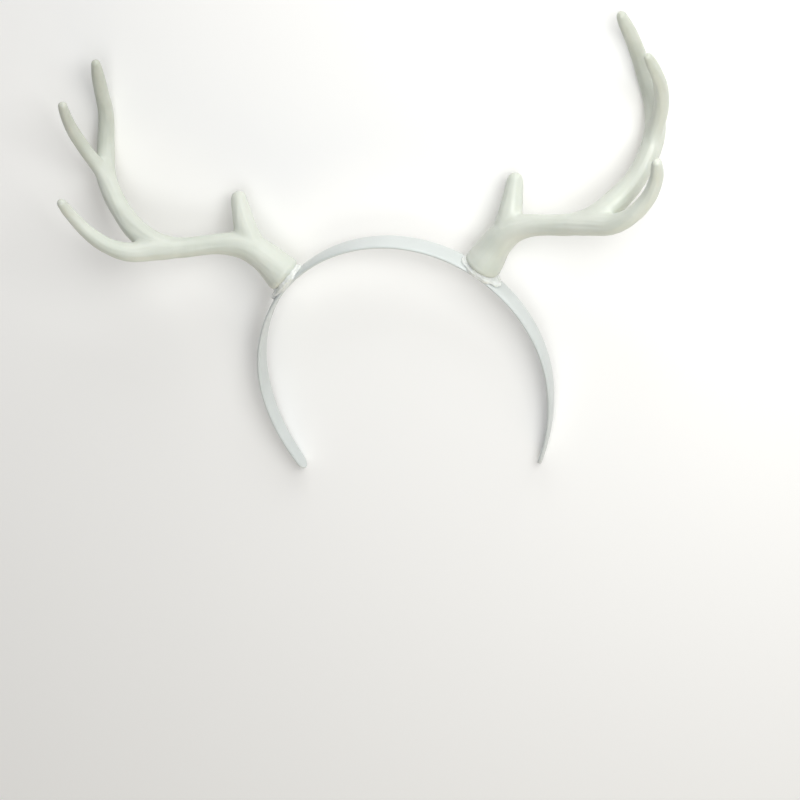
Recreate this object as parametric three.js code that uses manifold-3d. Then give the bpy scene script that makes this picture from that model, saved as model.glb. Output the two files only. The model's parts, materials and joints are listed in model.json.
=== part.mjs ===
// Antler headband: a thin moulded band worn over the crown of the head, with branched antlers glued on it.
//
// Millimetres. The pieces are shaped in the band's own frame: x across, y to the back, z to the crown, with
// the origin midway between the sides of the band at its widest level. Then the headband is laid on its
// back, as it rests by itself: on the ends of the band and on the backs of the two upper tines.
// Row frame: +X across, +Y from the ends of the band to the antler tips, +Z the way the front faces.

import * as THREE from 'three';
import Module from 'manifold-3d';

const wasm = await Module();
wasm.setup();

const GAP = 0.3; // clearance between glued pieces

// Band sizes, to the middle of the wall
const CROWN_HALF_WIDTH = 82; // at the widest level
const CROWN_HEIGHT = 86; // from the widest level to the crown
const LEG_LENGTH = 54; // below the widest level
const LEG_DRAW_IN = 13; // how far each end stands in from the widest level
const BAND_WIDTH = 14;
const BAND_END_WIDTH = 9;
const BAND_WALL = 2.6;
const CROWN_RINGS = 22; // each side of the crown
const LEG_RINGS = 7;
const END_ROUNDING = [20, 40, 58, 72]; // degrees round the end's half circle

// Band section: flat inside, slightly crowned outside, rounded edges
const BAND_SECTION = [
  { across: -0.8, outward: -1.0 },
  { across: 0.8, outward: -1.0 },
  { across: 0.95, outward: -0.65 },
  { across: 1.0, outward: 0.0 },
  { across: 0.93, outward: 0.55 },
  { across: 0.7, outward: 0.85 },
  { across: 0.35, outward: 0.97 },
  { across: 0.0, outward: 1.0 },
  { across: -0.35, outward: 0.97 },
  { across: -0.7, outward: 0.85 },
  { across: -0.93, outward: 0.55 },
  { across: -1.0, outward: 0.0 },
  { across: -0.95, outward: -0.65 },
];

// Antler branches of the right side: centre line and radius, root first; the last row is the rounded tip
const MAIN_BEAM = [
  { x: 54.4, y: 0.3, z: 67.8, radius: 9.6 }, // foot, on the glue
  { x: 56.4, y: 0.5, z: 70.2, radius: 10.2 }, // flared rim
  { x: 60.3, y: 0.9, z: 75.2, radius: 9.2 },
  { x: 64.6, y: 1.1, z: 80.4, radius: 8.3 }, // neck
  { x: 73.1, y: 0.5, z: 87.6, radius: 7.6 }, // root of the brow tine
  { x: 84.9, y: -2.1, z: 91.3, radius: 6.0 },
  { x: 97.2, y: -5.8, z: 92.5, radius: 5.4 }, // thinnest
  { x: 109.0, y: -9.6, z: 93.9, radius: 5.8 },
  { x: 120.4, y: -10.6, z: 97.4, radius: 6.3 }, // root of the forward tine
  { x: 131.0, y: -6.6, z: 103.4, radius: 6.3 },
  { x: 142.4, y: 2.9, z: 112.8, radius: 5.5 },
  { x: 151.0, y: 13.2, z: 128.0, radius: 5.5 }, // fork
  { x: 151.4, y: 22.6, z: 141.8, radius: 4.8 },
  { x: 147.8, y: 25.8, z: 159.7, radius: 4.2 },
  { x: 144.9, y: 21.9, z: 177.1, radius: 3.7 },
  { x: 142.7, y: 18.8, z: 186.8, radius: 3.2 },
  { x: 141.1, y: 16.5, z: 193.9, radius: 2.1 },
];
const FORWARD_TINE = [
  { x: 101.0, y: -7.0, z: 93.4, radius: 4.6 },
  { x: 110.5, y: -10.8, z: 94.2, radius: 5.6 },
  { x: 120.8, y: -14.1, z: 95.5, radius: 6.0 },
  { x: 131.7, y: -19.6, z: 97.4, radius: 5.3 },
  { x: 141.9, y: -23.0, z: 103.2, radius: 4.4 },
  { x: 151.5, y: -23.9, z: 112.8, radius: 3.9 },
  { x: 156.8, y: -26.2, z: 124.0, radius: 3.3 },
  { x: 158.1, y: -28.7, z: 130.1, radius: 2.9 },
  { x: 158.7, y: -30.7, z: 135.0, radius: 2.1 },
];
const FRONT_TINE = [
  { x: 137.6, y: -1.4, z: 108.4, radius: 3.6 },
  { x: 144.6, y: 4.8, z: 115.9, radius: 4.6 },
  { x: 149.3, y: 9.6, z: 123.8, radius: 4.6 },
  { x: 152.4, y: 11.9, z: 132.4, radius: 4.0 },
  { x: 156.6, y: 10.6, z: 143.8, radius: 3.7 },
  { x: 158.7, y: 6.1, z: 156.4, radius: 3.5 },
  { x: 157.8, y: 0.1, z: 167.9, radius: 3.1 },
  { x: 156.6, y: -3.1, z: 174.2, radius: 2.7 },
  { x: 155.2, y: -5.9, z: 179.5, radius: 1.9 },
];
const BROW_TINE = [
  { x: 65.5, y: 1.1, z: 81.2, radius: 5.6 },
  { x: 70.6, y: 2.0, z: 88.0, radius: 6.8 },
  { x: 73.2, y: 4.2, z: 94.2, radius: 6.4 },
  { x: 74.6, y: 6.9, z: 99.4, radius: 5.8 },
  { x: 76.3, y: 11.4, z: 107.4, radius: 4.8 },
  { x: 77.6, y: 15.3, z: 113.9, radius: 3.7 },
];
const BRANCH_SIDES = 18;
const RING_SPACING = 4.2; // along a branch
const TIP_ROUNDING = [20, 40, 60, 78]; // degrees round a tip's half circle
const ROOT_EDGE = 2.4; // rounding of a branch's root, which shows round the foot
const ROOT_ROUNDING = [0, 30, 60]; // degrees round that edge

// Glue bead under each antler: a squashed drop, longer along the band and wavy at its edge
const BEAD_ANGLE = 41; // degrees from the crown, just down the band from the middle of the foot
const BEAD_HALF_LENGTH = 13; // along the band
const BEAD_HALF_WIDTH = 8.4; // across it
const BEAD_HALF_HEIGHT = 2.5;
const BEAD_RISE = 1.6; // middle of the drop above the middle of the band's wall
const BEAD_SIDES = 26;
const BEAD_LEVELS = [-0.8, -0.45, 0.0, 0.45, 0.8]; // of the half height
const BEAD_WAVES = [
  { lobes: 3, depth: 0.05, turn: 0.4 },
  { lobes: 7, depth: 0.025, turn: 1.9 },
];

const WHITE_BAND = 0xeef1f4;
const IVORY_ANTLER = 0xe9ebe2;
const CLEAR_GLUE = 0xe6eae6;

const LAYING_ROUNDS = 40; // halvings of the turn that lays it down

const radians = THREE.MathUtils.degToRad;

// A closed skin over a row of rings that all turn the same way, with a fan at each end
function loft(rings, startPole, endPole) {
  const sides = rings[0].length;
  const points = [...rings.flat(), startPole, endPole];
  const start = points.length - 2;
  const end = points.length - 1;
  const last = (rings.length - 1) * sides;
  const faces = [];
  for (let side = 0; side < sides; side++) {
    const other = (side + 1) % sides;
    for (let row = 0; row < last; row += sides) {
      faces.push(row + side, row + other, row + sides + other);
      faces.push(row + side, row + sides + other, row + sides + side);
    }
    faces.push(start, other, side);
    faces.push(end, last + side, last + other);
  }
  const geometry = new THREE.BufferGeometry().setFromPoints(points);
  geometry.setIndex(faces);
  return geometry;
}

function toSolid(geometry) {
  const vertProperties = new Float32Array(geometry.attributes.position.array);
  const triVerts = new Uint32Array(geometry.index.array);
  return new wasm.Manifold(new wasm.Mesh({ numProp: 3, vertProperties, triVerts }));
}

function toGeometry(solid) {
  const mesh = solid.getMesh();
  const geometry = new THREE.BufferGeometry();
  geometry.setAttribute('position', new THREE.BufferAttribute(new Float32Array(mesh.vertProperties), 3));
  geometry.setIndex(Array.from(mesh.triVerts));
  return geometry;
}

function mirrored(geometry) {
  const copy = geometry.clone().scale(-1, 1, 1);
  const index = copy.index.array;
  for (let face = 0; face < index.length; face += 3) {
    [index[face + 1], index[face + 2]] = [index[face + 2], index[face + 1]];
  }
  return copy;
}

// Band stations of the right half, from beside the crown to the end
function crownStation(angle) {
  const point = new THREE.Vector3(CROWN_HALF_WIDTH * Math.sin(angle), 0, CROWN_HEIGHT * Math.cos(angle));
  const outward = new THREE.Vector3(point.x / CROWN_HALF_WIDTH ** 2, 0, point.z / CROWN_HEIGHT ** 2);
  return { point, outward: outward.normalize(), width: BAND_WIDTH };
}

function legStation(along, endFactor) {
  const point = new THREE.Vector3(CROWN_HALF_WIDTH - LEG_DRAW_IN * along ** 2, 0, -LEG_LENGTH * along);
  const outward = new THREE.Vector3(LEG_LENGTH, 0, -2 * LEG_DRAW_IN * along);
  const width = THREE.MathUtils.lerp(BAND_WIDTH, BAND_END_WIDTH, along) * endFactor;
  return { point, outward: outward.normalize(), width };
}

function bandHalf() {
  const stations = [];
  for (let ring = 0; ring < CROWN_RINGS; ring++) {
    stations.push(crownStation(((ring + 0.5) / CROWN_RINGS) * (Math.PI / 2)));
  }
  const roundStart = 1 - BAND_END_WIDTH / 2 / LEG_LENGTH;
  for (let ring = 0; ring <= LEG_RINGS; ring++) {
    stations.push(legStation((ring / LEG_RINGS) * roundStart, 1));
  }
  for (const degrees of END_ROUNDING) {
    const turn = radians(degrees);
    stations.push(legStation(roundStart + (1 - roundStart) * Math.sin(turn), Math.cos(turn)));
  }
  return stations;
}

function flipStation({ point, outward, width }) {
  const flip = new THREE.Vector3(-1, 1, 1);
  return { point: point.clone().multiply(flip), outward: outward.clone().multiply(flip), width };
}

function bandGeometry(grow) {
  const right = bandHalf();
  const stations = [...right.map(flipStation).reverse(), ...right];
  const rings = stations.map(({ point, outward, width }) =>
    BAND_SECTION.map((corner) => {
      const spot = point.clone().addScaledVector(outward, corner.outward * (BAND_WALL / 2 + grow));
      spot.y = corner.across * (width / 2 + grow);
      return spot;
    }),
  );
  return loft(rings, stations[0].point, stations[stations.length - 1].point);
}

// Where a branch's rings lie along it, with what rounds its two ends: a factor on the radius and a cut off it
function ringSpots(length, tipRadius, grow) {
  const straight = length - ROOT_EDGE - tipRadius;
  const steps = Math.ceil(straight / RING_SPACING);
  const edge = ROOT_EDGE + grow;
  const spots = [];
  for (const degrees of ROOT_ROUNDING) {
    const turn = radians(degrees);
    spots.push({ along: ROOT_EDGE - edge * Math.cos(turn), factor: 1, cut: edge * (1 - Math.sin(turn)) });
  }
  for (let step = 0; step <= steps; step++) {
    spots.push({ along: ROOT_EDGE + (step / steps) * straight, factor: 1, cut: 0 });
  }
  for (const degrees of TIP_ROUNDING) {
    const turn = radians(degrees);
    spots.push({ along: length - tipRadius * (1 - Math.sin(turn)), factor: Math.cos(turn), cut: 0 });
  }
  return spots;
}

// A round branch along a smooth centre line, its radius following the table and its ends rounded
function branchGeometry(rows, grow) {
  const line = new THREE.CatmullRomCurve3(rows.map(({ x, y, z }) => new THREE.Vector3(x, y, z)));
  const widths = rows.map(({ radius }) => new THREE.Vector3(radius, 0, 0));
  const radii = new THREE.CatmullRomCurve3(widths, false, 'catmullrom');
  const length = line.getLength();
  const normal = new THREE.Vector3(0, 1, 0);
  const spots = ringSpots(length, rows[rows.length - 1].radius, grow);
  const rings = spots.map(({ along, factor, cut }) => {
    const share = Math.max(along, 0) / length;
    const tangent = line.getTangentAt(share);
    normal.addScaledVector(tangent, -normal.dot(tangent)).normalize();
    const binormal = tangent.clone().cross(normal);
    const radius = radii.getPoint(line.getUtoTmapping(share)).x * factor - cut + grow;
    const centre = line.getPointAt(share).addScaledVector(tangent, Math.min(along, 0));
    return ringAround(centre, normal, binormal, BRANCH_SIDES, () => radius);
  });
  const root = line.getPointAt(0).addScaledVector(line.getTangentAt(0), -grow);
  return loft(rings, root, line.getPointAt(1));
}

function ringAround(centre, first, second, sides, radiusAt) {
  const ring = [];
  for (let side = 0; side < sides; side++) {
    const turn = (side / sides) * 2 * Math.PI;
    const radius = radiusAt(turn);
    const spot = centre.clone().addScaledVector(first, radius * Math.cos(turn));
    ring.push(spot.addScaledVector(second, radius * Math.sin(turn)));
  }
  return ring;
}

function antlerGeometry() {
  const tables = [MAIN_BEAM, FORWARD_TINE, FRONT_TINE, BROW_TINE];
  const branches = tables.map((rows) => toSolid(branchGeometry(rows, 0)));
  return toGeometry(branches.reduce((whole, branch) => whole.add(branch)));
}

function glueGeometry() {
  const { point, outward } = crownStation(radians(BEAD_ANGLE));
  const back = new THREE.Vector3(0, 1, 0);
  const side = outward.clone().cross(back);
  const level = (height) => point.clone().addScaledVector(outward, BEAD_RISE + height * BEAD_HALF_HEIGHT);
  const ripple = (turn) => BEAD_WAVES.reduce((sum, wave) => {
    return sum + wave.depth * Math.sin(wave.lobes * turn + wave.turn);
  }, 1);
  const reach = (turn) => {
    return 1 / Math.hypot(Math.cos(turn) / BEAD_HALF_WIDTH, Math.sin(turn) / BEAD_HALF_LENGTH);
  };
  const rings = BEAD_LEVELS.map((height) => {
    const share = Math.sqrt(1 - height ** 2);
    return ringAround(level(height), back, side, BEAD_SIDES, (turn) => share * reach(turn) * ripple(turn));
  });
  const drop = toSolid(loft(rings, level(-1), level(1)));
  const bandRoom = toSolid(bandGeometry(GAP));
  const footRoom = toSolid(branchGeometry(MAIN_BEAM, GAP));
  return toGeometry(drop.subtract(bandRoom).subtract(footRoom));
}

// The turn about X that lays the band's ends and the antlers' backs on one floor
function layingTurn(band, antler) {
  const lowest = (geometry, turn) => {
    const turned = geometry.clone().rotateX(turn);
    return new THREE.Box3().setFromBufferAttribute(turned.attributes.position).min.z;
  };
  let flat = -Math.PI / 2;
  let steep = -Math.PI / 3;
  for (let round = 0; round < LAYING_ROUNDS; round++) {
    const middle = (flat + steep) / 2;
    if (lowest(antler, middle) < lowest(band, middle)) {
      flat = middle;
    } else {
      steep = middle;
    }
  }
  return flat;
}

function makeMesh(name, geometry, color, roughness) {
  geometry.computeVertexNormals();
  const mesh = new THREE.Mesh(geometry, new THREE.MeshStandardMaterial({ color, roughness }));
  mesh.name = name;
  return mesh;
}

const band = bandGeometry(0);
const antlerRight = antlerGeometry();
const glueRight = glueGeometry();
const pieces = [
  { name: 'band', geometry: band, color: WHITE_BAND, roughness: 0.35 },
  { name: 'antler_right', geometry: antlerRight, color: IVORY_ANTLER, roughness: 0.4 },
  { name: 'antler_left', geometry: mirrored(antlerRight), color: IVORY_ANTLER, roughness: 0.4 },
  { name: 'glue_right', geometry: glueRight, color: CLEAR_GLUE, roughness: 0.15 },
  { name: 'glue_left', geometry: mirrored(glueRight), color: CLEAR_GLUE, roughness: 0.15 },
];

const turn = layingTurn(band, antlerRight);
const bounds = new THREE.Box3();
for (const { geometry } of pieces) {
  geometry.rotateX(turn);
  geometry.computeBoundingBox();
  bounds.union(geometry.boundingBox);
}
const middle = bounds.getCenter(new THREE.Vector3());

const headband = new THREE.Group();
headband.name = 'antler_headband';
for (const { name, geometry, color, roughness } of pieces) {
  geometry.translate(-middle.x, -middle.y, -bounds.min.z);
  headband.add(makeMesh(name, geometry, color, roughness));
}

export default headband;
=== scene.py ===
"""Antler headband lying on its back on a pale floor, seen from the photograph's angle.

Metres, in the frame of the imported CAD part: +X across, +Y from the ends of the band to the
antler tips, +Z up.
"""

import json
import math

import bmesh
import bpy
import numpy as np
from mathutils import Matrix, Vector, noise
from mathutils.bvhtree import BVHTree
from mathutils.kdtree import KDTree


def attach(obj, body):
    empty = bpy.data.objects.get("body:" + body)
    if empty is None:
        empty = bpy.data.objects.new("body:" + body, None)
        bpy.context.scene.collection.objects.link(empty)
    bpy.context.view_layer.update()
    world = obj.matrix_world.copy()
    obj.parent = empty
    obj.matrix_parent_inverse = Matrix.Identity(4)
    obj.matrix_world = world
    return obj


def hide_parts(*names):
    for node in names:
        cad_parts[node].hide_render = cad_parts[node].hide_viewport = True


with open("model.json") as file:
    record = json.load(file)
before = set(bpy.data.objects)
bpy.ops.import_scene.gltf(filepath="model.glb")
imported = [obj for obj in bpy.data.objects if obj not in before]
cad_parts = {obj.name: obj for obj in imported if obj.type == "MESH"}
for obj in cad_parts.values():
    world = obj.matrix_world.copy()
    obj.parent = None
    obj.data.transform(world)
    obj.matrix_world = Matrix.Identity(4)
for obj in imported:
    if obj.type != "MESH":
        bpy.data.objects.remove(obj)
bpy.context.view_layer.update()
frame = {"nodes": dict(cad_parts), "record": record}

MM = 0.001

# Camera, measured from the seat inside the crown of the band
PHOTO_SIDE = 800
FOCAL_PIXELS = 1869
SENSOR = 36.0
BAND_LEAN = math.radians(30)  # the band's plane leans forward of the photograph's upright
CAMERA_TURN = math.radians(17)  # to the side
CAMERA_ROLL = math.radians(1.8)
CAMERA_RIGHT = 12.5 * MM
CAMERA_DOWN = 82.7 * MM
CAMERA_AWAY = 992.4 * MM

# Stage
FLOOR_SIDE = 8.0
FLOOR_COLOUR = (0.97, 0.97, 0.97, 1.0)
FLOOR_ROUGHNESS = 0.7
AIR_COLOUR = (1.0, 1.0, 1.0, 1.0)
AIR_STRENGTH = 0.27
LIGHTS = [
    {
        "name": "key",
        "place": (0.7, 1.9, 0.6),
        "size": (1.6, 0.9),
        "watts": 21.0,
        "colour": (1.0, 1.0, 0.98),
    },
    {
        "name": "top",
        "place": (0.4, -0.1, 1.6),
        "size": (1.4, 1.4),
        "watts": 7.5,
        "colour": (0.99, 1.0, 1.0),
    },
    {
        "name": "low",
        "place": (0.2, -2.4, 0.7),
        "size": (2.4, 1.0),
        "watts": 18.0,
        "colour": (1.0, 0.87, 0.62),
    },
    {
        "name": "side",
        "place": (0.36, 0.24, 0.48),
        "size": (0.3, 0.3),
        "watts": 2.0,
        "colour": (1.0, 1.0, 0.97),
    },
]

# Looks: two tones in soft blotches, how rough the sheen is, fine unevenness and what is under the skin
NOISE_RANGE = (0.3, 0.7)  # where most of the noise lies
BLOTCH_EDGES = (0.35, 0.65)  # noise outside these is wholly one tone or the other
LOOKS = {
    "antler": {
        "tones": {"grain": 24 * MM, "first": (0.565, 0.60, 0.54), "second": (0.62, 0.645, 0.59)},
        "sheen": {"grain": 7 * MM, "low": 0.33, "high": 0.44},
        "bumps": [
            {"grain": 1.6 * MM, "detail": 1.0, "height": 0.012 * MM},
            {"grain": 4 * MM, "detail": 3.0, "height": 0.03 * MM},
        ],
        "body": {
            "Subsurface Weight": 0.25,
            "Subsurface Radius": (1.0, 0.9, 0.7),
            "Subsurface Scale": 2.5 * MM,
            "IOR": 1.49,
        },
    },
    "band": {
        "tones": {"grain": 30 * MM, "first": (0.57, 0.605, 0.60), "second": (0.61, 0.645, 0.64)},
        "sheen": {"grain": 9 * MM, "low": 0.30, "high": 0.38},
        "bumps": [{"grain": 6 * MM, "detail": 1.0, "height": 0.02 * MM}],
        "body": {"IOR": 1.5},
    },
    "glue": {
        "tones": {"grain": 3 * MM, "first": (0.72, 0.75, 0.725), "second": (0.82, 0.845, 0.825)},
        "sheen": {"grain": 2 * MM, "low": 0.14, "high": 0.26},
        "bumps": [{"grain": 1.4 * MM, "detail": 2.0, "height": 0.05 * MM}],
        "body": {
            "Subsurface Weight": 0.5,
            "Subsurface Radius": (1.0, 1.0, 0.9),
            "Subsurface Scale": 2.0 * MM,
            "Transmission Weight": 0.1,
            "IOR": 1.48,
        },
    },
}
# Painted shade: darker, warmer tones in the hollows between branches, where shade falls
HOLLOW_SHADE_TONES = {"grain": 5 * MM, "first": (0.52, 0.53, 0.43), "second": (0.56, 0.57, 0.475)}
HOLLOW_SHADE_POINTINESS = (0.42, 0.485)  # pointiness in a deep hollow and on open skin, between which the painted shade fades
HOLLOW_SHADE_SHARE = 0.9
# Painted shade: darker tones towards the tips of the antlers
TIP_SHADE_TONES = {"grain": 9 * MM, "first": (0.49, 0.515, 0.45), "second": (0.54, 0.56, 0.50)}
TIP_SHADE_RANGE = (45 * MM, 115 * MM)  # along Y, over which painted shade darkens the antlers towards their tips

# Places of a mix node's colour sockets, which share their names with others
MIX_SHARE = 0
MIX_FIRST = 6
MIX_SECOND = 7
MIX_RESULT = 2

# Surface detail
WELD = 0.01 * MM
FAN_EDGES = 8  # more edges than this meet only where a band end closes in a fan
BAND_ROUNDING = 2  # levels of subdivision
ANTLER_VOXEL = 0.48 * MM
ANTLER_ROUNDS = 150  # of smoothing
CROTCH_ROUNDS = 60
ANTLER_LUMPS = [
    {"grain": 11 * MM, "depth": 0.18 * MM},
    {"grain": 3.5 * MM, "depth": 0.04 * MM},
]
ANTLER_SEEDS = {"left": Vector((3.1, 0.7, 5.2)), "right": Vector((8.4, 2.9, 1.3))}
ANTLER_LINES = {"grain": 1.7 * MM, "depth": 0.06 * MM, "step": 1.2 * MM, "rounds": 40}
WAY_ROUNDS = 150  # of smoothing, to find the way that a branch runs
GLUE_VOXEL = 0.28 * MM
GLUE_ROUNDS = 8
HUG_DEPTH = 1.0 * MM  # how far the glue's skin moves where it meets a neighbour
HUG_REACH = 1.3 * MM  # from a neighbour, beyond which it stays
GLUE_LUMPS = [
    {"grain": 4.5 * MM, "depth": 0.55 * MM},
    {"grain": 1.8 * MM, "depth": 0.16 * MM},
]
GLUE_SEEDS = {"left": Vector((1.7, 4.4, 0.6)), "right": Vector((6.2, 9.5, 3.8))}
SMOOTH_IN = 0.5  # share of the way to the neighbours' middle, then back out again
SMOOTH_OUT = -0.51


# Camera and stage


def photo_axes():
    """The seat's place, and the right, up and forward of the photograph's camera."""
    seat = next(m for m in frame["record"]["mounts"] if m["name"] == "head_seat")
    across = Vector((1, 0, 0))
    crown = -Vector(seat["axis"])
    back = crown.cross(across)
    upright = crown * math.cos(BAND_LEAN) + back * math.sin(BAND_LEAN)
    level_back = back * math.cos(BAND_LEAN) - crown * math.sin(BAND_LEAN)
    level_right = across * math.cos(CAMERA_TURN) + level_back * math.sin(CAMERA_TURN)
    forward = level_back * math.cos(CAMERA_TURN) - across * math.sin(CAMERA_TURN)
    right = level_right * math.cos(CAMERA_ROLL) - upright * math.sin(CAMERA_ROLL)
    up = level_right * math.sin(CAMERA_ROLL) + upright * math.cos(CAMERA_ROLL)
    return Vector(seat["pos_m"]), right, up, forward


def add_camera():
    seat, right, up, forward = photo_axes()
    data = bpy.data.cameras.new("camera")
    data.sensor_width = SENSOR
    data.lens = SENSOR * FOCAL_PIXELS / PHOTO_SIDE
    camera = bpy.data.objects.new("camera", data)
    turn = Matrix((right, up, -forward)).transposed().to_4x4()
    place = seat + right * CAMERA_RIGHT - up * CAMERA_DOWN - forward * CAMERA_AWAY
    camera.matrix_world = Matrix.Translation(place) @ turn
    bpy.context.scene.collection.objects.link(camera)
    bpy.context.scene.camera = camera


def add_floor():
    half = FLOOR_SIDE / 2
    mesh = bpy.data.meshes.new("floor")
    corners = [(-half, -half, 0), (half, -half, 0), (half, half, 0), (-half, half, 0)]
    mesh.from_pydata(corners, [], [(0, 1, 2, 3)])
    made, _, shader = start_material("floor")
    shader.inputs["Base Color"].default_value = FLOOR_COLOUR
    shader.inputs["Roughness"].default_value = FLOOR_ROUGHNESS
    mesh.materials.append(made)
    floor = bpy.data.objects.new("floor", mesh)
    bpy.context.scene.collection.objects.link(floor)


def add_lights():
    for row in LIGHTS:
        data = bpy.data.lights.new(row["name"], "AREA")
        data.shape = "RECTANGLE"
        data.size, data.size_y = row["size"]
        data.energy = row["watts"]
        data.color = row["colour"]
        light = bpy.data.objects.new(row["name"], data)
        light.location = row["place"]
        light.rotation_euler = (-Vector(row["place"])).to_track_quat("-Z", "Y").to_euler()
        bpy.context.scene.collection.objects.link(light)
    world = bpy.data.worlds.new("air")
    world.use_nodes = True
    air = world.node_tree.nodes["Background"]
    air.inputs["Color"].default_value = AIR_COLOUR
    air.inputs["Strength"].default_value = AIR_STRENGTH
    bpy.context.scene.world = world
    bpy.context.scene.view_settings.view_transform = "Standard"


# Material nodes


def start_material(name):
    made = bpy.data.materials.new(name)
    made.use_nodes = True
    tree = made.node_tree
    return made, tree, tree.nodes["Principled BSDF"]


def place_of(tree):
    return tree.nodes.new("ShaderNodeTexCoord").outputs["Object"]


def along_y(tree):
    node = tree.nodes.new("ShaderNodeSeparateXYZ")
    tree.links.new(place_of(tree), node.inputs["Vector"])
    return node.outputs["Y"]


def cloud(tree, grain, detail=3.0):
    """Soft noise whose blotches are about grain across."""
    node = tree.nodes.new("ShaderNodeTexNoise")
    node.inputs["Scale"].default_value = 1 / grain
    node.inputs["Detail"].default_value = detail
    tree.links.new(place_of(tree), node.inputs["Vector"])
    return node.outputs["Fac"]


def blotches(tree, row):
    """Soft blotches of two near tones."""
    node = tree.nodes.new("ShaderNodeValToRGB")
    for element, edge, tone in zip(node.color_ramp.elements, BLOTCH_EDGES, ("first", "second")):
        element.position = edge
        element.color = (*row[tone], 1.0)
    tree.links.new(cloud(tree, row["grain"]), node.inputs["Fac"])
    return node.outputs["Color"]


def spread(tree, value, low, high, limits=NOISE_RANGE):
    """A value between the limits, as a number between low and high."""
    node = tree.nodes.new("ShaderNodeMapRange")
    node.inputs["From Min"].default_value = limits[0]
    node.inputs["From Max"].default_value = limits[1]
    node.inputs["To Min"].default_value = low
    node.inputs["To Max"].default_value = high
    tree.links.new(value, node.inputs["Value"])
    return node.outputs["Result"]


def bump(tree, value, height, under=None):
    node = tree.nodes.new("ShaderNodeBump")
    node.inputs["Strength"].default_value = 1.0
    node.inputs["Distance"].default_value = height
    tree.links.new(value, node.inputs["Height"])
    if under is not None:
        tree.links.new(under, node.inputs["Normal"])
    return node.outputs["Normal"]


def mixed(tree, share, first, second):
    node = tree.nodes.new("ShaderNodeMix")
    node.data_type = "RGBA"
    tree.links.new(share, node.inputs[MIX_SHARE])
    tree.links.new(first, node.inputs[MIX_FIRST])
    tree.links.new(second, node.inputs[MIX_SECOND])
    return node.outputs[MIX_RESULT]


# Materials


def moulded(name, look):
    """A material with everything that its row of looks says."""
    made, tree, shader = start_material(name)
    tone = blotches(tree, look["tones"])
    tree.links.new(tone, shader.inputs["Base Color"])
    sheen = look["sheen"]
    rough = spread(tree, cloud(tree, sheen["grain"]), sheen["low"], sheen["high"])
    tree.links.new(rough, shader.inputs["Roughness"])
    normal = None
    for row in look["bumps"]:
        normal = bump(tree, cloud(tree, row["grain"], row["detail"]), row["height"], normal)
    tree.links.new(normal, shader.inputs["Normal"])
    for socket, value in look["body"].items():
        shader.inputs[socket].default_value = value
    return made, tree, shader, tone


def antler_material():
    """Ivory white satin plastic, a little translucent, with painted shade darker and warmer in its
    hollows and painted shade towards its tips.
    """
    made, tree, shader, tone = moulded("antler_plastic", LOOKS["antler"])
    pointiness = tree.nodes.new("ShaderNodeNewGeometry").outputs["Pointiness"]
    # painted shade in the hollows: low pointiness mixes in the darker, warmer tones
    hollow = spread(tree, pointiness, HOLLOW_SHADE_SHARE, 0.0, HOLLOW_SHADE_POINTINESS)
    # painted shade, growing along Y towards the tips
    tip_shade = spread(tree, along_y(tree), 0.0, 1.0, TIP_SHADE_RANGE)
    skin = mixed(tree, hollow, tone, blotches(tree, HOLLOW_SHADE_TONES))
    skin = mixed(tree, tip_shade, skin, blotches(tree, TIP_SHADE_TONES))
    tree.links.new(skin, shader.inputs["Base Color"])
    return made


def band_material():
    """Cool white moulded plastic with a smooth sheen."""
    return moulded("band_plastic", LOOKS["band"])[0]


def glue_material():
    """Set hot glue: glossy, cloudy and partly clear."""
    return moulded("set_glue", LOOKS["glue"])[0]


# Meshes


def welded_copy(node, name):
    """A new object in the scene with a copy of a CAD node's mesh, its split corners joined."""
    edit = bmesh.new()
    edit.from_mesh(frame["nodes"][node].data)
    bmesh.ops.remove_doubles(edit, verts=edit.verts, dist=WELD)
    mesh = bpy.data.meshes.new(name)
    edit.to_mesh(mesh)
    edit.free()
    piece = bpy.data.objects.new(name, mesh)
    bpy.context.scene.collection.objects.link(piece)
    return piece


def apply_modifiers(piece):
    graph = bpy.context.evaluated_depsgraph_get()
    piece.data = bpy.data.meshes.new_from_object(piece.evaluated_get(graph))
    piece.modifiers.clear()


def remeshed(piece, voxel):
    """Even quads all over, so that joins between branches run into each other."""
    step = piece.modifiers.new("voxels", "REMESH")
    step.mode = "VOXEL"
    step.voxel_size = voxel
    apply_modifiers(piece)


def vertex_rows(rows, name):
    """Three numbers for each vertex, such as its place or its normal."""
    values = np.empty(len(rows) * 3)
    rows.foreach_get(name, values)
    return values.reshape(-1, 3)


def put_back(mesh, points):
    mesh.vertices.foreach_set("co", points.ravel())
    mesh.update()


def pull_of(mesh):
    """A function of a row for each vertex: the way from each row to the middle of its neighbours'."""
    ends = np.empty(len(mesh.edges) * 2, dtype=np.int32)
    mesh.edges.foreach_get("vertices", ends)
    first, second = ends.reshape(-1, 2).T
    here = np.concatenate([first, second])
    there = np.concatenate([second, first])
    total = len(mesh.vertices)
    count = np.bincount(here, minlength=total)[:, None]

    def pull(points):
        sums = [np.bincount(here, column[there], total) for column in points.T]
        return np.stack(sums, axis=1) / count - points

    return pull


def relaxed(piece, rounds):
    """Smooths flats and creases without shrinking: each round steps in, then a little further out."""
    mesh = piece.data
    pull = pull_of(mesh)
    points = vertex_rows(mesh.vertices, "co")
    for _ in range(rounds):
        for share in (SMOOTH_IN, SMOOTH_OUT):
            points = points + share * pull(points)
    put_back(mesh, points)


def filleted(piece, rounds):
    """Fills the crotches between branches: only hollow places move, and only outwards."""
    mesh = piece.data
    pull = pull_of(mesh)
    for _ in range(rounds):
        points = vertex_rows(mesh.vertices, "co")
        normals = vertex_rows(mesh.vertex_normals, "vector")
        rise = np.einsum("ij,ij->i", pull(points), normals)
        put_back(mesh, points + normals * np.maximum(rise, 0)[:, None])


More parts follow.
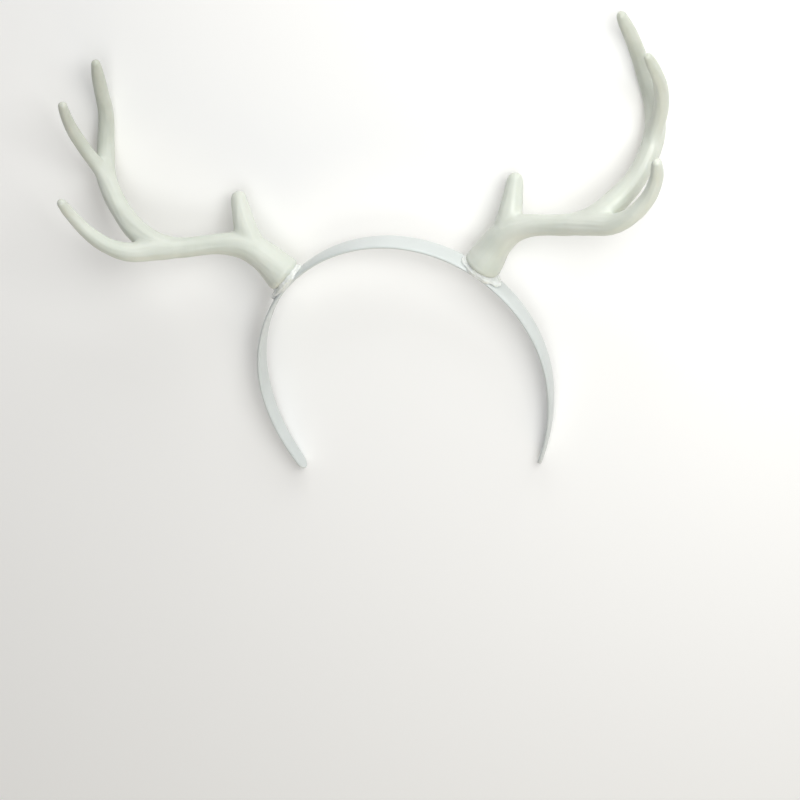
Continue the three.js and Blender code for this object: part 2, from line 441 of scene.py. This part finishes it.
def hugging(piece, nodes):
    """Draws the skin on to its neighbours where it lies close, which closes the working gap."""
    trees = []
    for node in nodes:
        mesh = frame["nodes"][node].data
        corners = [vertex.co for vertex in mesh.vertices]
        trees.append(BVHTree.FromPolygons(corners, [list(face.vertices) for face in mesh.polygons]))
    for vertex, normal in zip(piece.data.vertices, vertex_rows(piece.data.vertex_normals, "vector")):
        gap = min(tree.find_nearest(vertex.co)[3] for tree in trees)
        vertex.co += Vector(normal) * HUG_DEPTH * max(0, 1 - gap / HUG_REACH)
    piece.data.update()


def lumpy(piece, lumps, seed):
    """Pushes the skin in and out along its normals by soft noise."""
    mesh = piece.data
    normals = [v.normal.copy() for v in mesh.vertices]
    for vertex, normal in zip(mesh.vertices, normals):
        push = sum(row["depth"] * noise.noise(vertex.co / row["grain"] + seed) for row in lumps)
        vertex.co += normal * push
    mesh.update()


def ways_along(mesh):
    """The way that the branch runs at each vertex: the normals turn across it, but not along it."""
    pull = pull_of(mesh)
    normals = vertex_rows(mesh.vertex_normals, "vector")
    turns = np.einsum("ij,ik->ijk", normals, normals).reshape(-1, 9)
    for _ in range(WAY_ROUNDS):
        turns = turns + SMOOTH_IN * pull(turns)
    return np.linalg.eigh(turns.reshape(-1, 3, 3)).eigenvectors[:, :, 0]


def lined(piece, row, seed):
    """Shallow lines along the branches: soft noise, drawn out the way that each branch runs."""
    mesh = piece.data
    points = vertex_rows(mesh.vertices, "co")
    tree = KDTree(len(points))
    for index, point in enumerate(points):
        tree.insert(point, index)
    tree.balance()
    step = ways_along(mesh) * row["step"]
    ahead = [tree.find(place)[1] for place in points + step]
    behind = [tree.find(place)[1] for place in points - step]
    lines = np.array([noise.noise(Vector(point) / row["grain"] + seed) for point in points])
    for _ in range(row["rounds"]):
        lines = (lines + lines[ahead] + lines[behind]) / 3
    rise = row["depth"] * lines / lines.std()
    put_back(mesh, points + vertex_rows(mesh.vertex_normals, "vector") * rise[:, None])


def finish_piece(piece, node, made):
    piece.data.materials.clear()
    piece.data.materials.append(made)
    piece.data.shade_smooth()
    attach(piece, "root")
    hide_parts(node)


def is_diagonal(edge):
    """Whether an edge only splits a four-sided facet: it is then the longest side of both halves."""
    if len(edge.link_faces) != 2 or max(len(end.link_edges) for end in edge.verts) > FAN_EDGES:
        return False
    longest = [max(face.edges, key=lambda side: side.calc_length()) for face in edge.link_faces]
    return all(edge == side for side in longest)


# Pieces


def add_band(made):
    piece = welded_copy("band", "band_moulding")
    edit = bmesh.new()
    edit.from_mesh(piece.data)
    diagonals = [edge for edge in edit.edges if is_diagonal(edge)]
    bmesh.ops.dissolve_edges(edit, edges=diagonals)
    edit.to_mesh(piece.data)
    edit.free()
    step = piece.modifiers.new("rounding", "SUBSURF")
    step.levels = BAND_ROUNDING
    step.render_levels = BAND_ROUNDING
    apply_modifiers(piece)
    finish_piece(piece, "band", made)


def add_antlers(made):
    for side, seed in ANTLER_SEEDS.items():
        piece = welded_copy(f"antler_{side}", f"antler_{side}_moulding")
        remeshed(piece, ANTLER_VOXEL)
        relaxed(piece, ANTLER_ROUNDS)
        filleted(piece, CROTCH_ROUNDS)
        relaxed(piece, ANTLER_ROUNDS)
        lined(piece, ANTLER_LINES, seed)
        lumpy(piece, ANTLER_LUMPS, seed)
        finish_piece(piece, f"antler_{side}", made)


def add_glue(made):
    for side, seed in GLUE_SEEDS.items():
        piece = welded_copy(f"glue_{side}", f"glue_{side}_bead")
        remeshed(piece, GLUE_VOXEL)
        lumpy(piece, GLUE_LUMPS, seed)
        relaxed(piece, GLUE_ROUNDS)
        hugging(piece, ["band", f"antler_{side}"])
        finish_piece(piece, f"glue_{side}", made)


add_camera()
add_floor()
add_lights()
add_band(band_material())
add_antlers(antler_material())
add_glue(glue_material())
